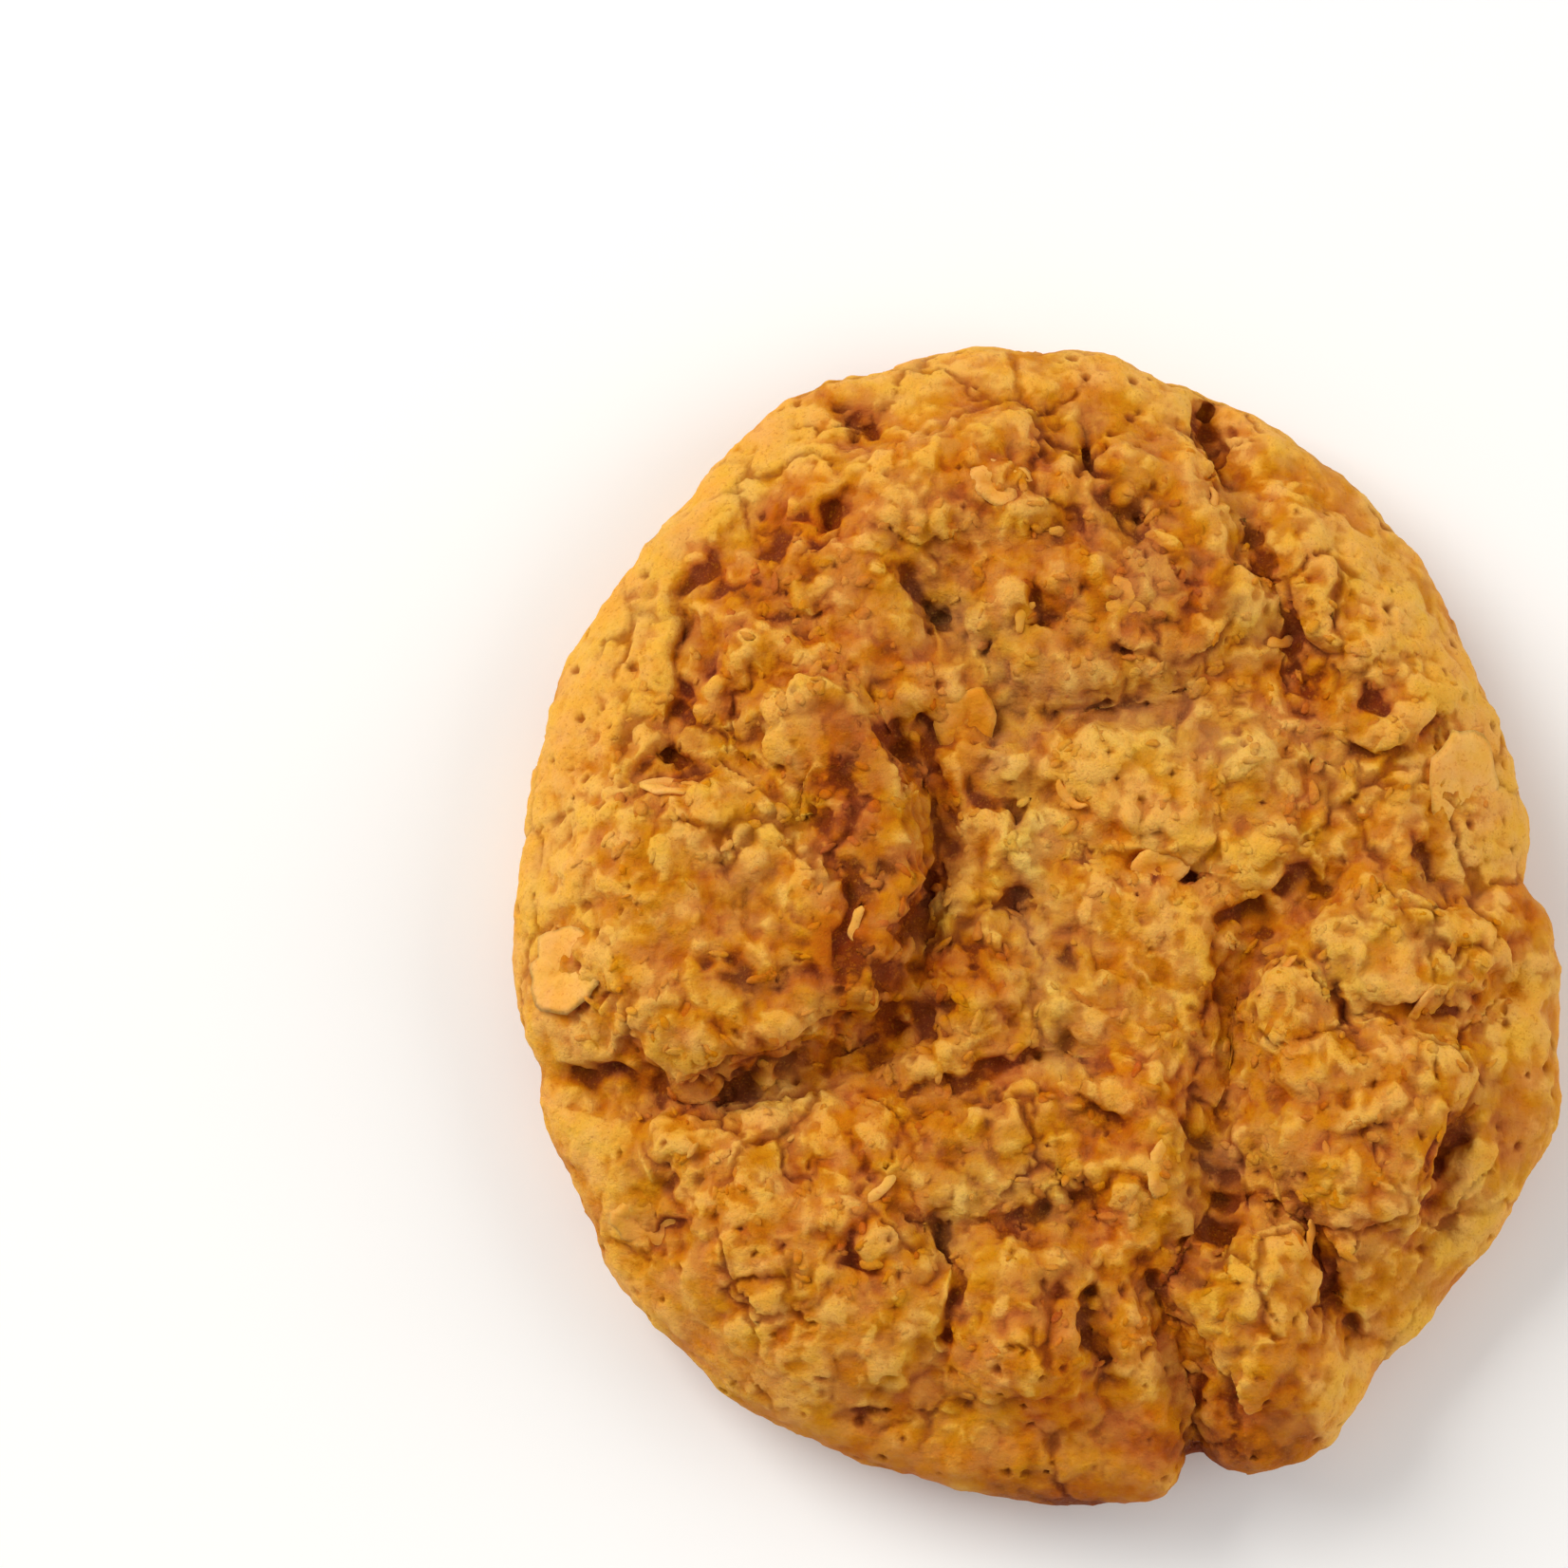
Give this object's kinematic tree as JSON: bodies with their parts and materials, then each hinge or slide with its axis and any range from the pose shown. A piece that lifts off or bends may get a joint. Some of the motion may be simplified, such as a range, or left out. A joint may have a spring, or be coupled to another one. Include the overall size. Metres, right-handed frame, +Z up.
{
  "type": "anzac biscuit",
  "caption": "Chunky round oat biscuit with a craggy, cracked golden face, a smooth rounded rim, fissures round its side and a flat base, for eating by hand.",
  "frame": {"origin": "middle of the bounding box on the flat base, where the biscuit lay on the tray", "axes": "+Z up through the craggy face, +Y towards the face's top edge as the picture shows it, +X to the picture's right"},
  "size_m": [0.0762, 0.085, 0.0178],
  "materials": {
    "baked_dough": null
  },
  "bodies": {
    "root": {"biscuit": "baked_dough"}
  },
  "joints": []
}
